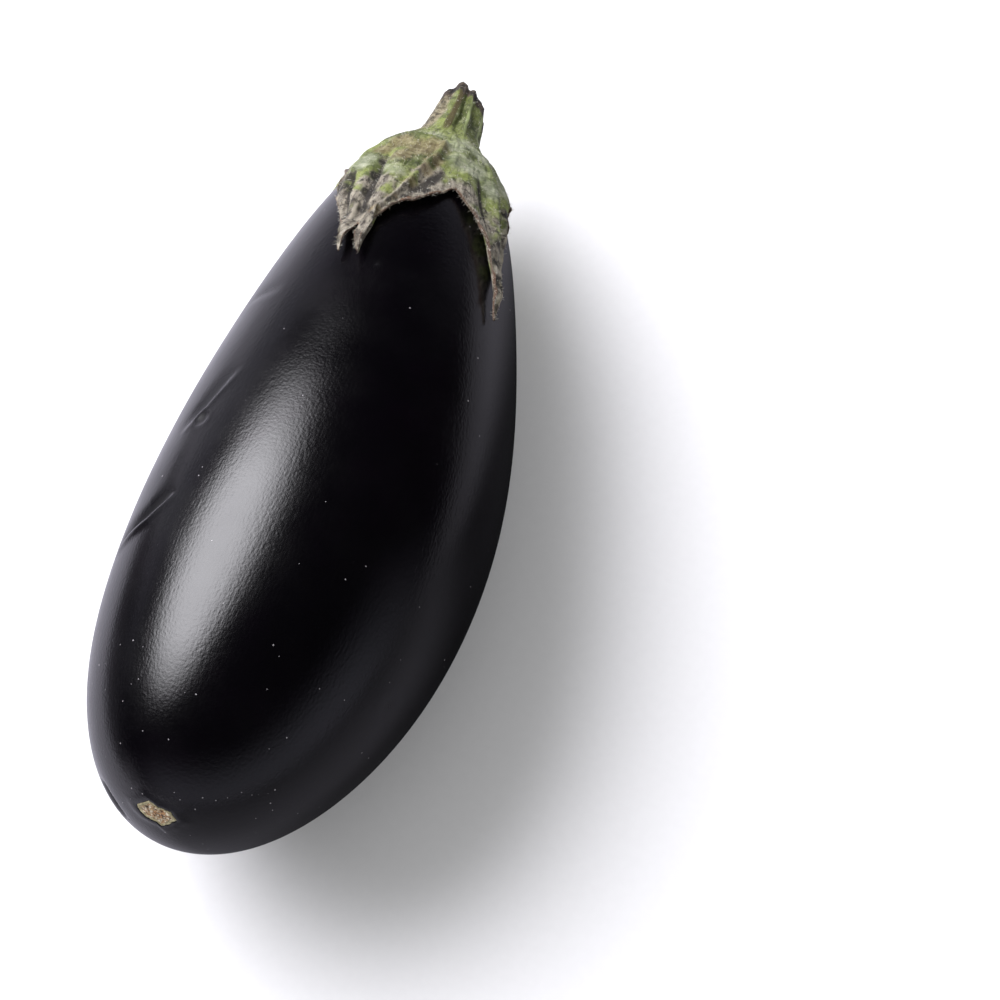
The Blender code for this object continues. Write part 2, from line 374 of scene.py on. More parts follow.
def value_noise(u, v, cells, seed):
    """Random values on a lattice, blended by smoothstep; u takes cells steps for 0 to 1 and v unit steps."""
    table = np.random.default_rng(seed).uniform(-1, 1, (cells, 97))
    u, v = u * cells, np.asarray(v, float)
    iu, iv = np.floor(u).astype(int), np.floor(v).astype(int)
    fu, fv = smoothstep(0, 1, u - iu), smoothstep(0, 1, v - iv)
    near, far = iu % cells, (iu + 1) % cells
    low = table[near, iv % 97] * (1 - fu) + table[far, iv % 97] * fu
    high = table[near, (iv + 1) % 97] * (1 - fu) + table[far, (iv + 1) % 97] * fu
    return low * (1 - fv) + high * fv


def layered_noise(u, v, cells, seed, layers=3):
    """Value noise added to finer copies of itself, each twice as fine and half as strong."""
    return sum(value_noise(u, v * 2**k, cells * 2**k, seed + k) / 2**k for k in range(layers))


def line_field(points, line, normals):
    """From each grid point: distance to a line on the skin, share along it, and distance to its stem side."""
    best = np.full(points.shape[:-1], np.inf)
    share, side = np.zeros(best.shape), np.zeros(best.shape)
    for k in range(len(line) - 1):
        a, b = line[k], line[k + 1]
        t = np.clip(((points - a) @ (b - a)) / ((b - a) @ (b - a)), 0, 1)
        offset = points - a - t[..., None] * (b - a)
        across = np.cross(b - a, normals[k])
        across *= np.sign(across[1]) / np.linalg.norm(across)
        distance = np.linalg.norm(offset, axis=-1)
        closer = distance < best
        best = np.where(closer, distance, best)
        share = np.where(closer, (k + t) / (len(line) - 1), share)
        side = np.where(closer, offset @ across, side)
    return best, share, side


def bell(value, width):
    """Falls from 1 at zero to nothing past the width, as the exponential of minus the square."""
    return np.exp(-((value / width) ** 2))


def crowded(low, high, count, places):
    """Values from low to high, closer together near the places: even steps of the summed density."""
    grid = np.linspace(low, high, 3000)
    density = 1 + sum(more * bell(grid - np.radians(at), np.radians(width)) for at, width, more in places)
    return np.interp(np.linspace(0, 1, count), np.cumsum(density) / density.sum(), grid)


def closed_grid(name, rows, first, last, attributes=None):
    """A mesh of rows of points that run round, closed by a point at each end, its faces turned outwards."""
    count, columns = rows.shape[:2]
    points = np.concatenate([rows.reshape(-1, 3), first[None], last[None]])
    index = np.arange(count * columns).reshape(count, columns)
    beside = np.roll(index, -1, axis=1)
    quads = np.stack([index[:-1], beside[:-1], beside[1:], index[1:]], axis=-1).reshape(-1, 4)
    start, end = np.full(columns, count * columns), np.full(columns, count * columns + 1)
    triangles = np.concatenate([
        np.stack([start, beside[0], index[0]], axis=-1),
        np.stack([end, index[-1], beside[-1]], axis=-1),
    ])
    halves = np.concatenate([quads[:, [0, 1, 2]], quads[:, [0, 2, 3]], triangles])
    a, b, c = (points[halves[:, k]] for k in range(3))
    if np.einsum("ij,ij->i", a, np.cross(b, c)).sum() < 0:
        quads, triangles = quads[:, ::-1], triangles[:, ::-1]
    return mesh_object(name, points, [quads, triangles], attributes)


def mesh_object(name, points, face_groups, attributes=None):
    """Puts arrays of points and faces into a smooth mesh, with float attributes for the material to read."""
    mesh = bpy.data.meshes.new(name)
    loops = np.concatenate([group.ravel() for group in face_groups]).astype(np.int32)
    sizes = np.concatenate([np.full(len(group), group.shape[1]) for group in face_groups])
    mesh.vertices.add(len(points))
    mesh.vertices.foreach_set("co", points.astype(np.float32).ravel())
    mesh.loops.add(len(loops))
    mesh.loops.foreach_set("vertex_index", loops)
    mesh.polygons.add(len(sizes))
    mesh.polygons.foreach_set("loop_start", (np.cumsum(sizes) - sizes).astype(np.int32))
    mesh.update(calc_edges=True)
    for key, values in (attributes or {}).items():
        kind = "FLOAT_VECTOR" if values.ndim == 2 else "FLOAT"
        attribute = mesh.attributes.new(key, kind, "POINT")
        field = "vector" if kind == "FLOAT_VECTOR" else "value"
        attribute.data.foreach_set(field, values.astype(np.float32).ravel())
    mesh.validate()
    mesh.shade_smooth()
    made = bpy.data.objects.new(name, mesh)
    bpy.context.scene.collection.objects.link(made)
    return made


# ---------------------------------------------------------------- material helpers


def node(tree, kind, inputs=None, **settings):
    """Adds a node, sets its settings, and fills or links its inputs."""
    made = tree.nodes.new(kind)
    for key, value in settings.items():
        setattr(made, key, value)
    for key, value in (inputs or {}).items():
        if isinstance(value, bpy.types.NodeSocket):
            tree.links.new(value, made.inputs[key])
        else:
            made.inputs[key].default_value = value
    return made


def colour(value):
    """A colour with its alpha."""
    return (*value, 1.0) if len(value) == 3 else tuple(value)


def mixed(tree, factor, first, second, blend="MIX"):
    """A colour mix; first and second are colours or sockets."""
    made = node(tree, "ShaderNodeMix", data_type="RGBA", blend_type=blend)
    made.clamp_factor = True
    for socket, value in ((made.inputs[0], factor), (made.inputs[6], first), (made.inputs[7], second)):
        if isinstance(value, bpy.types.NodeSocket):
            tree.links.new(value, socket)
        else:
            socket.default_value = value if socket.type == "VALUE" else colour(value)
    return made.outputs[2]


def maths(tree, operation, *values):
    """A sum, product or the like of values and sockets, taken from the left."""
    first, *rest = values
    for second in rest or [0.0]:
        first = node(tree, "ShaderNodeMath", {0: first, 1: second}, operation=operation).outputs[0]
    return first


def plus(tree, *values):
    """The values' sum."""
    return maths(tree, "ADD", *values)


def times(tree, *values):
    """The values' product."""
    return maths(tree, "MULTIPLY", *values)


def noise(tree, place, scale, detail=2.0, roughness=0.5):
    """Smooth noise from 0 to 1."""
    inputs = {"Vector": place, "Scale": scale, "Detail": detail, "Roughness": roughness}
    return node(tree, "ShaderNodeTexNoise", inputs).outputs["Fac"]


def own_place(tree):
    """The piece's own coordinates."""
    return node(tree, "ShaderNodeTexCoord").outputs["Object"]


def bumped(tree, shader, height, distance, strength=1.0):
    """Roughens the shader's normal by a height."""
    made = node(tree, "ShaderNodeBump", {"Height": height, "Strength": strength, "Distance": distance})
    tree.links.new(made.outputs["Normal"], shader.inputs["Normal"])


def spread(tree, value, low, high, to_low=0.0, to_high=1.0):
    """Maps a value from one range to another, smoothly and clamped."""
    inputs = {"Value": value, "From Min": low, "From Max": high, "To Min": to_low, "To Max": to_high}
    made = node(tree, "ShaderNodeMapRange", inputs, interpolation_type="SMOOTHSTEP")
    return made.outputs["Result"]


def attribute(tree, name, output="Fac"):
    """A value that the mesh carries at its points."""
    return node(tree, "ShaderNodeAttribute", attribute_name=name).outputs[output]


def new_group(name, **levels):
    """An empty shader group: a vector input, float inputs with their defaults, and a float output, Mask."""
    group = bpy.data.node_groups.new(name, "ShaderNodeTree")
    group.interface.new_socket("Vector", in_out="INPUT", socket_type="NodeSocketVector")
    for label, default in levels.items():
        socket = group.interface.new_socket(label, in_out="INPUT", socket_type="NodeSocketFloat")
        socket.default_value = default
    group.interface.new_socket("Mask", in_out="OUTPUT", socket_type="NodeSocketFloat")
    return group, group.nodes.new("NodeGroupInput").outputs, group.nodes.new("NodeGroupOutput").inputs


def blotches_group():
    """Soft-edged patches: layered noise, cut between two levels."""
    if "Blotches" in bpy.data.node_groups:
        return bpy.data.node_groups["Blotches"]
    group, given, result = new_group("Blotches", Scale=200.0, Low=0.45, High=0.6, Roughness=0.6)
    cloud = noise(group, given["Vector"], given["Scale"], 5.0, given["Roughness"])
    group.links.new(spread(group, cloud, given["Low"], given["High"]), result["Mask"])
    return group


def specks_group():
    """Scattered round specks: the nearest cell's distance below a size, kept for a share of the cells."""
    if "Specks" in bpy.data.node_groups:
        return bpy.data.node_groups["Specks"]
    group, given, result = new_group("Specks", Scale=300.0, Size=0.1, Share=0.2)
    cells = node(group, "ShaderNodeTexVoronoi", {"Vector": given["Vector"], "Scale": given["Scale"]})
    pick = node(group, "ShaderNodeSeparateColor", {"Color": cells.outputs["Color"]})
    chosen = maths(group, "LESS_THAN", pick.outputs["Red"], given["Share"])
    grown = times(group, given["Size"], plus(group, pick.outputs["Green"], 0.4))
    near = maths(group, "LESS_THAN", cells.outputs["Distance"], grown)
    group.links.new(times(group, chosen, near), result["Mask"])
    return group


def grouped(tree, group, **inputs):
    """Places a group and gives back its mask."""
    return node(tree, "ShaderNodeGroup", inputs, node_tree=group).outputs[0]


def new_material(name, roughness):
    """A material with its tree and its shader."""
    made = bpy.data.materials.new(name)
    made.use_nodes = True
    shader = made.node_tree.nodes["Principled BSDF"]
    shader.inputs["Roughness"].default_value = roughness
    return made, made.node_tree, shader


# ---------------------------------------------------------------- fruit skin


def scar_axes():
    """The scar's middle, the directions along and across it, and the skin's normal there."""
    middle, normal = skin(*np.radians(SCAR_PLACE))
    level = np.cross(normal, [0, 0, 1])
    level /= np.linalg.norm(level)
    long = math.cos(SCAR_TURN) * level + math.sin(SCAR_TURN) * np.cross(normal, level)
    return middle, long, np.cross(long, normal), normal


def scar_outline(turn):
    """How far the outline lies from the middle in each direction: between its corners, with ragged noise."""
    corners = np.array(SCAR_OUTLINE) * MM
    pieces = np.linspace(0, 1, 20, endpoint=False)[None, :, None]
    line = (corners[:, None] * (1 - pieces) + np.roll(corners, -1, axis=0)[:, None] * pieces).reshape(-1, 2)
    around = np.arctan2(line[:, 1], line[:, 0])
    order = np.argsort(around)
    radius = np.interp(turn, around[order], np.hypot(*line.T)[order], period=2 * np.pi)
    return radius * (1 + 0.045 * layered_noise((turn / (2 * np.pi)) % 1, 0 * turn, 26, seed=71, layers=2))


def scar_share(points):
    """How far each point lies from the scar's middle, as a share of its outline."""
    middle, long, short, normal = scar_axes()
    offset = points - middle
    along, across = offset @ long, offset @ short
    share = np.hypot(along, across) / scar_outline(np.arctan2(across, along))
    return share + np.where(np.abs(offset @ normal) > 5 * MM, 9, 0)


def on_scar(along, across, height):
    """Skin points at distances along and across the scar, by the skin's slopes at its middle.

    Near the blossom's pole the skin is laid out flat: a station and angle become a point at that distance and
    direction from the pole.
    """
    station, angle = np.radians(SCAR_PLACE)
    flat = station * np.array([np.cos(angle), np.sin(angle)])

    def place(spot, lift):
        return skin(np.hypot(spot[..., 0], spot[..., 1]), np.arctan2(spot[..., 1], spot[..., 0]), lift)[0]

    steps = np.eye(2) * EPSILON
    slopes = (place(flat + steps, np.zeros(2)) - place(flat - steps, np.zeros(2))) / (2 * EPSILON)
    _, long, short, _ = scar_axes()
    wanted = along[..., None] * long + across[..., None] * short
    return place(flat + wanted @ np.linalg.pinv(slopes), height)


def skin_relief(station, angle, points):
    """Height over the smooth skin in metres, and how dull it is.

    The swells are sines round the fruit. A crease is a bell across its line, steep on the blossom's side
    where a narrow bulge stands, and fades to its ends by a sine. A dent is a bell about its middle with a
    faint ring, and the scar lies in a bed of skin within a ring.
    """
    three, five, uneven = SWELLS
    swells = three * np.sin(3 * angle + 1.1 + 1.4 * np.sin(2 * station)) * np.sin(station) ** 2
    swells += five * np.sin(5 * angle - 0.4 + 1.2 * station) * np.sin(station) ** 2
    slow = layered_noise(angle / (2 * np.pi), station * 4 / np.pi, 5, seed=11, layers=2)
    swells += uneven * slow * np.sin(station)
    height = swells * MM
    dull = np.zeros(height.shape)
    for path, width, depth, bulge in CREASES:
        share, corners = np.linspace(0, 1, 13), np.linspace(0, 1, len(path))
        stations, angles = (np.radians(np.interp(share, corners, row)) for row in np.array(path, float).T)
        distance, along, side = line_field(points, *skin(stations, angles))
        fade = np.sin(np.pi * along) * bell(distance, 4 * width * MM)
        blossom_side = CREASE_SHARPNESS / depth
        if bulge > 0:
            hollow = np.where(side > 0, bell(side, width * MM), bell(side, blossom_side))
            dull = np.maximum(dull, np.where(side > 0, bell(side, 0.7 * width * MM), 0) * fade * depth / 1.5)
        else:
            hollow = bell(distance, width * MM)
        height -= depth * MM * hollow * fade
        height += bulge * MM * bell(side + 0.45 * width * MM, 0.4 * width * MM) * fade
    for place, radius, depth in PITS:
        middle, _ = skin(*np.radians(place))
        distance = np.linalg.norm(points - middle, axis=-1)
        height -= depth * MM * bell(distance, radius * MM)
        height += 0.25 * depth * MM * bell(distance - 1.7 * radius * MM, 0.5 * radius * MM)
        dull = np.maximum(dull, bell(distance, 0.8 * radius * MM) * min(depth / 0.5, 1))
    scar = scar_share(points)
    height += SCAR_RING * MM * bell(scar - 1.2, 0.35) - SCAR_BED * MM * smoothstep(0.98, 0.75, scar)
    return height, dull


def eggplant_skin_material():
    """Near-black purple gloss with fine orange-peel, faint streaks and pale specks, duller in the creases."""
    fruit = bpy.context.scene.eggplant_fruit
    made, tree, shader = new_material("eggplant skin", 0.24)
    place = own_place(tree)

    blush = grouped(tree, blotches_group(), Vector=place, Scale=34.0, Low=0.42, High=0.72)
    base = mixed(tree, times(tree, blush, 0.35), fruit.colour, fruit.blush)
    near_blossom = node(tree, "ShaderNodeSeparateXYZ", {"Vector": place}).outputs["Y"]
    share = spread(tree, near_blossom, -0.03, -0.095, 0.16, 0.95)
    dust = grouped(tree, specks_group(), Vector=place, Scale=400.0, Size=0.058, Share=share)
    base = mixed(tree, dust, base, (0.22, 0.21, 0.22))
    tree.links.new(base, shader.inputs["Base Color"])

    stretched = node(tree, "ShaderNodeMapping", {"Vector": place, "Scale": (1.0, 0.22, 1.0)})
    streaks = noise(tree, stretched.outputs["Vector"], 1700.0)
    gloss = spread(tree, noise(tree, place, 55.0, 4.0), 0.3, 0.7, 0.15, 0.22)
    gloss = plus(tree, gloss, times(tree, streaks, 0.05), times(tree, attribute(tree, "dull"), 0.45))
    tree.links.new(gloss, shader.inputs["Roughness"])

    peel = noise(tree, place, 1500.0)
    height = plus(tree, times(tree, peel, 0.6), times(tree, streaks, 0.5), times(tree, dust, 0.6))
    bumped(tree, shader, height, 0.00006)
    shader.inputs["IOR"].default_value = 1.48
    return made


class EGGPLANT_OT_fruit(bpy.types.Operator):
    """Builds the fruit's glossy skin with its creases, dents and blossom scar"""

    bl_idname = "eggplant.fruit"
    bl_label = "Fruit Skin"

    def execute(self, context):
        rows = crowded(np.pi, 0, SKIN_ROWS + 2, CROWDED_ROWS)[1:-1]
        columns = crowded(0, 2 * np.pi, SKIN_COLUMNS + 1, CROWDED_COLUMNS)[:-1]
        station, angle = np.meshgrid(rows, columns, indexing="ij")
        smooth, _ = skin(station, angle)
        relief, dull = skin_relief(station, angle, smooth)
        points, _ = skin(station, angle, relief)
        softness = context.scene.eggplant_fruit.flat_softness
        points[..., 2] = (points[..., 2] + np.sqrt(points[..., 2] ** 2 + softness**2)) / 2
        stem_pole, _ = skin(np.array(np.pi), np.array(0.0))
        blossom_pole = points[-1].mean(axis=0)
        attributes = {"dull": np.append(dull.ravel(), [0, 0])}
        made = closed_grid("fruit_skin", points, stem_pole, blossom_pole, attributes)
        made.data.materials.append(eggplant_skin_material())
        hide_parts("fruit")
        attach(made, "root")
        return {"FINISHED"}


def scar_material():
    """Olive-tan cork, speckled with pale, rusty and dark grains towards its middle."""
    made, tree, shader = new_material("blossom scar", 0.8)
    place, blotches = own_place(tree), blotches_group()
    inner = spread(tree, attribute(tree, "inner"), 0.15, 0.34)
    pale = grouped(tree, blotches, Vector=place, Scale=1500.0, Low=0.47, High=0.58)
    rust = grouped(tree, blotches, Vector=place, Scale=1100.0, Low=0.50, High=0.58)
    dark = grouped(tree, blotches, Vector=place, Scale=1900.0, Low=0.54, High=0.60)
    olive = mixed(tree, pale, (0.20, 0.175, 0.095), (0.28, 0.25, 0.15))
    grains = mixed(tree, pale, (0.25, 0.17, 0.09), (0.50, 0.44, 0.34))
    grains = mixed(tree, times(tree, rust, 0.8), grains, (0.26, 0.11, 0.035))
    grains = mixed(tree, times(tree, dark, 0.9), grains, (0.035, 0.02, 0.012))
    base = mixed(tree, inner, olive, grains)
    base = mixed(tree, attribute(tree, "pit"), base, (0.012, 0.008, 0.006))
    tree.links.new(base, shader.inputs["Base Color"])
    bumped(tree, shader, pale, 0.0002, 0.7)
    return made


class EGGPLANT_OT_scar(bpy.types.Operator):
    """Builds the corky scar where the blossom fell off, with its ragged outline and one dark pit"""

    bl_idname = "eggplant.scar"
    bl_label = "Blossom Scar"

    def execute(self, context):
        turn = np.linspace(0, 2 * np.pi, SCAR_COLUMNS, endpoint=False)[None]
        share = np.linspace(0, 1, SCAR_RINGS + 1)[1:, None]
        reach = scar_outline(turn) * share
        along, across = reach * np.cos(turn), reach * np.sin(turn)
        grain = layered_noise(turn / (2 * np.pi), share * 7, 20, seed=83)
        pit_along, pit_across, pit_radius, pit_depth = SCAR_PIT
        pit = bell(np.hypot(along - pit_along * MM, across - pit_across * MM), pit_radius * MM)
        height = SCAR_FACE + 0.14 * grain * smoothstep(0.98, 0.7, share) + 0.12 * bell(share - 0.9, 0.06)
        height = height - 0.34 * smoothstep(0.93, 1.0, share) - pit_depth * pit
        top = on_scar(along, across, height * MM)
        back = [-1, SCAR_RINGS // 2]
        under = on_scar(along[back], across[back], np.full((2, 1), SCAR_UNDER * MM))
        rows = np.concatenate([top, under])
        ends = on_scar(np.zeros(2), np.zeros(2), np.array([SCAR_FACE, SCAR_UNDER]) * MM)
        rims = np.concatenate([share + 0 * turn, np.ones((2, SCAR_COLUMNS))])
        inner = np.append((1 - rims).ravel(), [1, 0])
        marks = {"inner": inner, "pit": np.append(np.concatenate([pit, 0 * pit[:2]]).ravel(), [0, 0])}
        made = closed_grid("blossom_scar", rows, ends[0], ends[1], marks)
        made.data.materials.append(scar_material())
        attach(made, "root")
        return {"FINISHED"}


# ---------------------------------------------------------------- calyx and stem


def calyx_outline():
    """The sepals' outline as even columns: base angle at the stem, and angle and reach at the edge.

    A Catmull-Rom curve runs through the outline's points, and its columns are spread by its length.
    """
    points = np.array([point for sepal in SEPALS for point in sepal], float)
    count = len(points)
    wrap = np.array([360.0, 0.0])
    before, after = np.roll(points, 1, axis=0), np.roll(points, -1, axis=0)
    before[0] -= wrap
    after[-1] += wrap
    second = np.roll(points, -2, axis=0)
    second[-2:] += wrap
    t = np.linspace(0, 1, 24, endpoint=False)[None, :, None]
    a, b, c, d = (array[:, None, :] for array in (before, points, after, second))
    curve = 0.5 * (2 * b + (c - a) * t + (2 * a - 5 * b + 4 * c - d) * t**2 + (3 * b - a - 3 * c + d) * t**3)
    share = (np.arange(count)[:, None] + t[..., 0]).ravel()
    curve = np.concatenate([curve.reshape(-1, 2), curve.reshape(-1, 2)[:1] + wrap])
    share = np.append(share, count)
    flat = curve * np.array([0.55, 1.0])
    lengths = np.append(0, np.cumsum(np.linalg.norm(np.diff(flat, axis=0), axis=1)))
    even = np.linspace(0, lengths[-1], CALYX_COLUMNS, endpoint=False)
    edge_angle, reach = np.interp(even, lengths, curve[:, 0]), np.interp(even, lengths, curve[:, 1])
    at = np.interp(even, lengths, share)
    starts = np.cumsum([0] + [len(sepal) for sepal in SEPALS])
    notches = np.append([sepal[0][0] for sepal in SEPALS], SEPALS[0][0][0] + 360)
    base_angle = np.interp(at, starts, notches)
    around = even / lengths[-1]
    reach = reach + 0.45 * layered_noise(around, 0 * around, 150, seed=21) * smoothstep(38, 48, reach)
    return np.radians(base_angle), np.radians(edge_angle), reach * MM


def fold_relief(angle, reach, points):
    """Height of the folds and grooves, and how deep in a groove each point is, from 0 to 1, which the
    material paints as shade.
    """
    height = np.zeros(points.shape[:-1])
    hollow = np.zeros(points.shape[:-1])
    for line, width, rise in FOLDS:
        angles, reaches = np.array(line, float).T
        share = np.linspace(0, 1, 16)
        along = np.linspace(0, 1, len(line))
        path = skin(
            station_at(np.interp(share, along, reaches) * MM), np.radians(np.interp(share, along, angles)),
            np.full(16, 1.5 * MM),
        )
        distance, position, _ = line_field(points, *path)
        fade = np.sin(np.pi * np.clip(position * 0.86 + 0.10, 0, 1)) ** 0.7
        wave = bell(distance, width * MM) * fade
        height += rise * MM * wave
        hollow = np.maximum(hollow, wave * (rise < 0))
        if rise > 0:
            height -= 0.35 * rise * MM * bell(distance - 2.2 * width * MM, width * MM) * fade
    return height, hollow


def patches(points, places):
    """From 0 to 1: how strongly each point lies in one of the patches, each a bell about its middle."""
    mask = np.zeros(points.shape[:-1])
    for (angle, reach), radius in places:
        middle, _ = skin(station_at(reach * MM), np.radians(angle), np.array(1.5 * MM))
        mask = np.maximum(mask, bell(np.linalg.norm(points - middle, axis=-1), radius * MM))
    return mask


def round_bell(angle, centre, width):
    """A bell round the stem, of the shorter way from the angle to the centre, all in degrees."""
    return bell((np.degrees(angle) - centre + 180) % 360 - 180, width)


def stem_directions():
    """At the fruit's stem end: the pole, and the directions sideways, up and out along the stem."""
    pole, _ = skin(np.array(np.pi), np.array(0.0))
    near, _ = skin(np.array(np.pi - 0.02), np.array([0.0, np.pi]))
    side = (near[0] - near[1]) / np.linalg.norm(near[0] - near[1])
    up = tilted(np.array([0.0, 0.0, 1.0]))
    return pole, side, up, np.cross(up, side)


def stem_surface(out, angle):
    """Points of the stem: a straight taper with a flared foot, ridges and grooves, round the core's end."""
    stem = bpy.context.scene.eggplant_stem
    share = out / stem.length
    width = stem.neck + (stem.end - stem.neck) * np.clip(share, 0, 1.4)
    width = width + (stem.base - stem.neck) * np.clip(1 - share, 0, 1.1) ** 2
    wander = 4 * layered_noise(0 * share, share * 2, 3, seed=33)
    ridges = sum(rise * round_bell(angle, at + wander, wide) for at, wide, rise in FLUTES)
    ridges = ridges + 0.30 * layered_noise(angle / (2 * np.pi), share * 3, 14, seed=31)
    radius = width / 2 + stem.ridge * MM * ridges * smoothstep(-0.5, 0.25, share)
    pole, side, up, forward = stem_directions()
    middle = pole + out[..., None] * forward + (0.3 * MM * smoothstep(0, 1, share))[..., None] * side
    return middle + radius[..., None] * (np.cos(angle)[..., None] * side + np.sin(angle)[..., None] * up)


def cut_height(angle, share):
    """How far out the cut lies: a plane that falls towards +X and the table, broken by ragged fibres."""
    stem = bpy.context.scene.eggplant_stem
    slope = (-0.46 * np.cos(angle) + 0.42 * np.sin(angle)) * stem.end / 2 * share
    ragged = layered_noise(angle / (2 * np.pi), share * 5, 24, seed=47)
    corner = -3.4 * MM * smoothstep(0.10, 0.85, -np.cos(angle)) * share
    return stem.length + slope + corner + 0.55 * MM * ragged * (0.4 + 0.6 * share)


MARKS = (
    "cut", "stem", "tip", "round", "reach", "along", "hollow", "rim", "long", "rust", "mottle_and_shade", "painted_sheen", "corky",
    "stripe", "pale",
)


def calyx_rows():
    """Rows of the calyx and stem, from the middle of the cut to the underside's pole, with attributes."""
    base, edge_angle, edge_reach = calyx_outline()
    forward = stem_directions()[3]
    rows, marks = [], []

    def keep(points, **values):
        rows.append(points)
        marks.append({key: np.broadcast_to(values.get(key, 0.0), points.shape[:-1]) for key in MARKS})

    # The cut face, from near its middle to its rim.
    share = np.linspace(0.08, 1, CUT_ROWS)[:, None]
    rim = stem_surface(cut_height(base, 1.0), base)
    middle = rim.mean(axis=0)
    face = stem_surface(cut_height(base[None], share), np.broadcast_to(base, (CUT_ROWS, len(base))))
    face = middle + (face - middle) * share[..., None] - (0.9 * MM * (1 - share**4))[..., None] * forward
    keep(face, cut=1.0, stem=1.0, round=base / (2 * np.pi), reach=-0.02 + 0.003 * share)

    # The stem's side, then the web where its flare becomes the cap.
    down = np.linspace(0, 1, STEM_ROWS + 1)[1:, None]
    out = cut_height(base, 1.0) * (1 - down) + WEB_OUT[0] * down
    angle = np.broadcast_to(base, out.shape)
    sides = {
        "corky": sum(round_bell(angle, at, wide) for at, wide in CORKY_SIDES),
        "stripe": sum(round_bell(angle, at, wide) for at, wide in STRIPES),
        "pale": sum(round_bell(angle, at, wide) for at, wide in PALE_RIDGES),
    }
    ragged = 0.8 * MM * layered_noise(base / (2 * np.pi), 0 * base, 40, seed=51)
    tip = smoothstep(4.4 * MM, 1.2 * MM, cut_height(base, 1.0) - out + ragged)
    keep(stem_surface(out, angle), stem=1.0, round=angle / (2 * np.pi), reach=-out, tip=tip, **sides)

    over = np.linspace(0, 1, WEB_ROWS + 1)[1:, None]
    blend = smoothstep(0, 1, over)
    out = WEB_OUT[0] + (WEB_OUT[1] - WEB_OUT[0]) * over + 0 * base
    reach = WEB_REACH[0] + (WEB_REACH[1] - WEB_REACH[0]) * over + 0 * base
    top, _, hollow = calyx_sheet(reach, angle[:1] + 0 * out, np.zeros(out.shape), edge_reach)
    web = stem_surface(out, angle[:1] + 0 * out) * (1 - blend)[..., None] + top * blend[..., None]
    keep(web, stem=1 - blend, round=base / (2 * np.pi), reach=reach * blend - out * (1 - blend),
         hollow=hollow * blend, **{key: mask[:1] * (1 - blend) for key, mask in sides.items()},
         **colour_patches(web))

    # The cap and the sepals, out to their edge.
    along = np.linspace(0, 1, SEPAL_ROWS + 1)[1:, None]
    along = 1 - (1 - along) ** 1.25
    reach = WEB_REACH[1] + (edge_reach - WEB_REACH[1]) * along
    angle = base + (edge_angle - base) * along**1.5
    top, bottom, hollow = calyx_sheet(reach, angle, along, edge_reach)
    long = (edge_reach - 34 * MM) / (36 * MM)
    keep(top, round=angle / (2 * np.pi), reach=reach, along=along, hollow=hollow, long=long,
         **colour_patches(top))

    # The rounded edge, then the underside back to the pole.
    turn = np.linspace(0, np.pi, EDGE_ROWS + 2)[1:-1, None, None]
    outwards = top[-1] - top[-4]
    outwards /= np.linalg.norm(outwards, axis=-1, keepdims=True) + 1e-12
    centre, half = (top[-1] + bottom[-1]) / 2, (top[-1] - bottom[-1]) / 2
    bulge = np.linalg.norm(half, axis=-1, keepdims=True) * outwards
    rounded = centre + half * np.cos(turn) + bulge * np.sin(turn)
    keep(rounded, round=edge_angle / (2 * np.pi), reach=edge_reach, along=1.0, rim=1.0)
    back = np.linspace(1, 0, UNDER_ROWS)[:, None]
    reach = 4 * MM + (edge_reach - 4 * MM) * back
    place = np.clip((reach - WEB_REACH[1]) / (edge_reach - WEB_REACH[1]), 0, 1)
    angle = base + (edge_angle - base) * place**1.5
    _, bottom, _ = calyx_sheet(reach, angle, place, edge_reach)
    keep(bottom, round=angle / (2 * np.pi), reach=reach, along=place)

    joined = {key: np.concatenate([mark[key] for mark in marks]) for key in MARKS}
    return np.concatenate(rows), joined, middle - 0.9 * MM * forward


def colour_patches(points):
    """How rusty each point is, how much dark mottling and painted shade it has, and how much painted sheen.
    """
    return {"rust": patches(points, RUST_PATCHES), "mottle_and_shade": patches(points, MOTTLE_AND_SHADE_PATCHES),
            "painted_sheen": patches(points, PAINTED_SHEEN_PATCHES)}


def calyx_sheet(reach, angle, along, edge_reach):
    """Top and bottom of the calyx: the skin lifted by gap, flesh and folds together, and by the gap alone."""
    calyx = bpy.context.scene.eggplant_calyx
    station = station_at(reach)
    around = angle / (2 * np.pi)
    flat, _ = skin(station, angle, np.full(reach.shape, 1.5 * MM))
    folds, hollow = fold_relief(angle, reach, flat)
    ripple = layered_noise(around, reach / (9 * MM), 22, seed=5)
    length = np.clip((edge_reach - 34 * MM) / (36 * MM), 0, 1)
    gap = 0.12 * MM + calyx.edge_lift * along**4 * (1.0 + 0.9 * ripple) * (1 + length)
    thickness = calyx.cap_thickness * (1 - 0.4 * smoothstep(0.15, 0.85, along))
    thickness = thickness + (calyx.edge_thickness - thickness) * smoothstep(0.75, 1.0, along)
    fibres = layered_noise(around, reach / (16 * MM), 90, seed=8)
    fine = layered_noise(around, reach / (2.0 * MM), 170, seed=9, layers=2)
    relief = folds * smoothstep(1.0, 0.88, along) + (0.16 * fibres + 0.12 * fine + 0.30 * ripple) * MM
    flesh = np.maximum(thickness + relief, 0.45 * calyx.edge_thickness)
    bottom, _ = skin(station, angle, np.maximum(gap, 0.1 * MM))
    top, _ = skin(station, angle, np.maximum(gap, 0.1 * MM) + flesh)
    return top, bottom, hollow


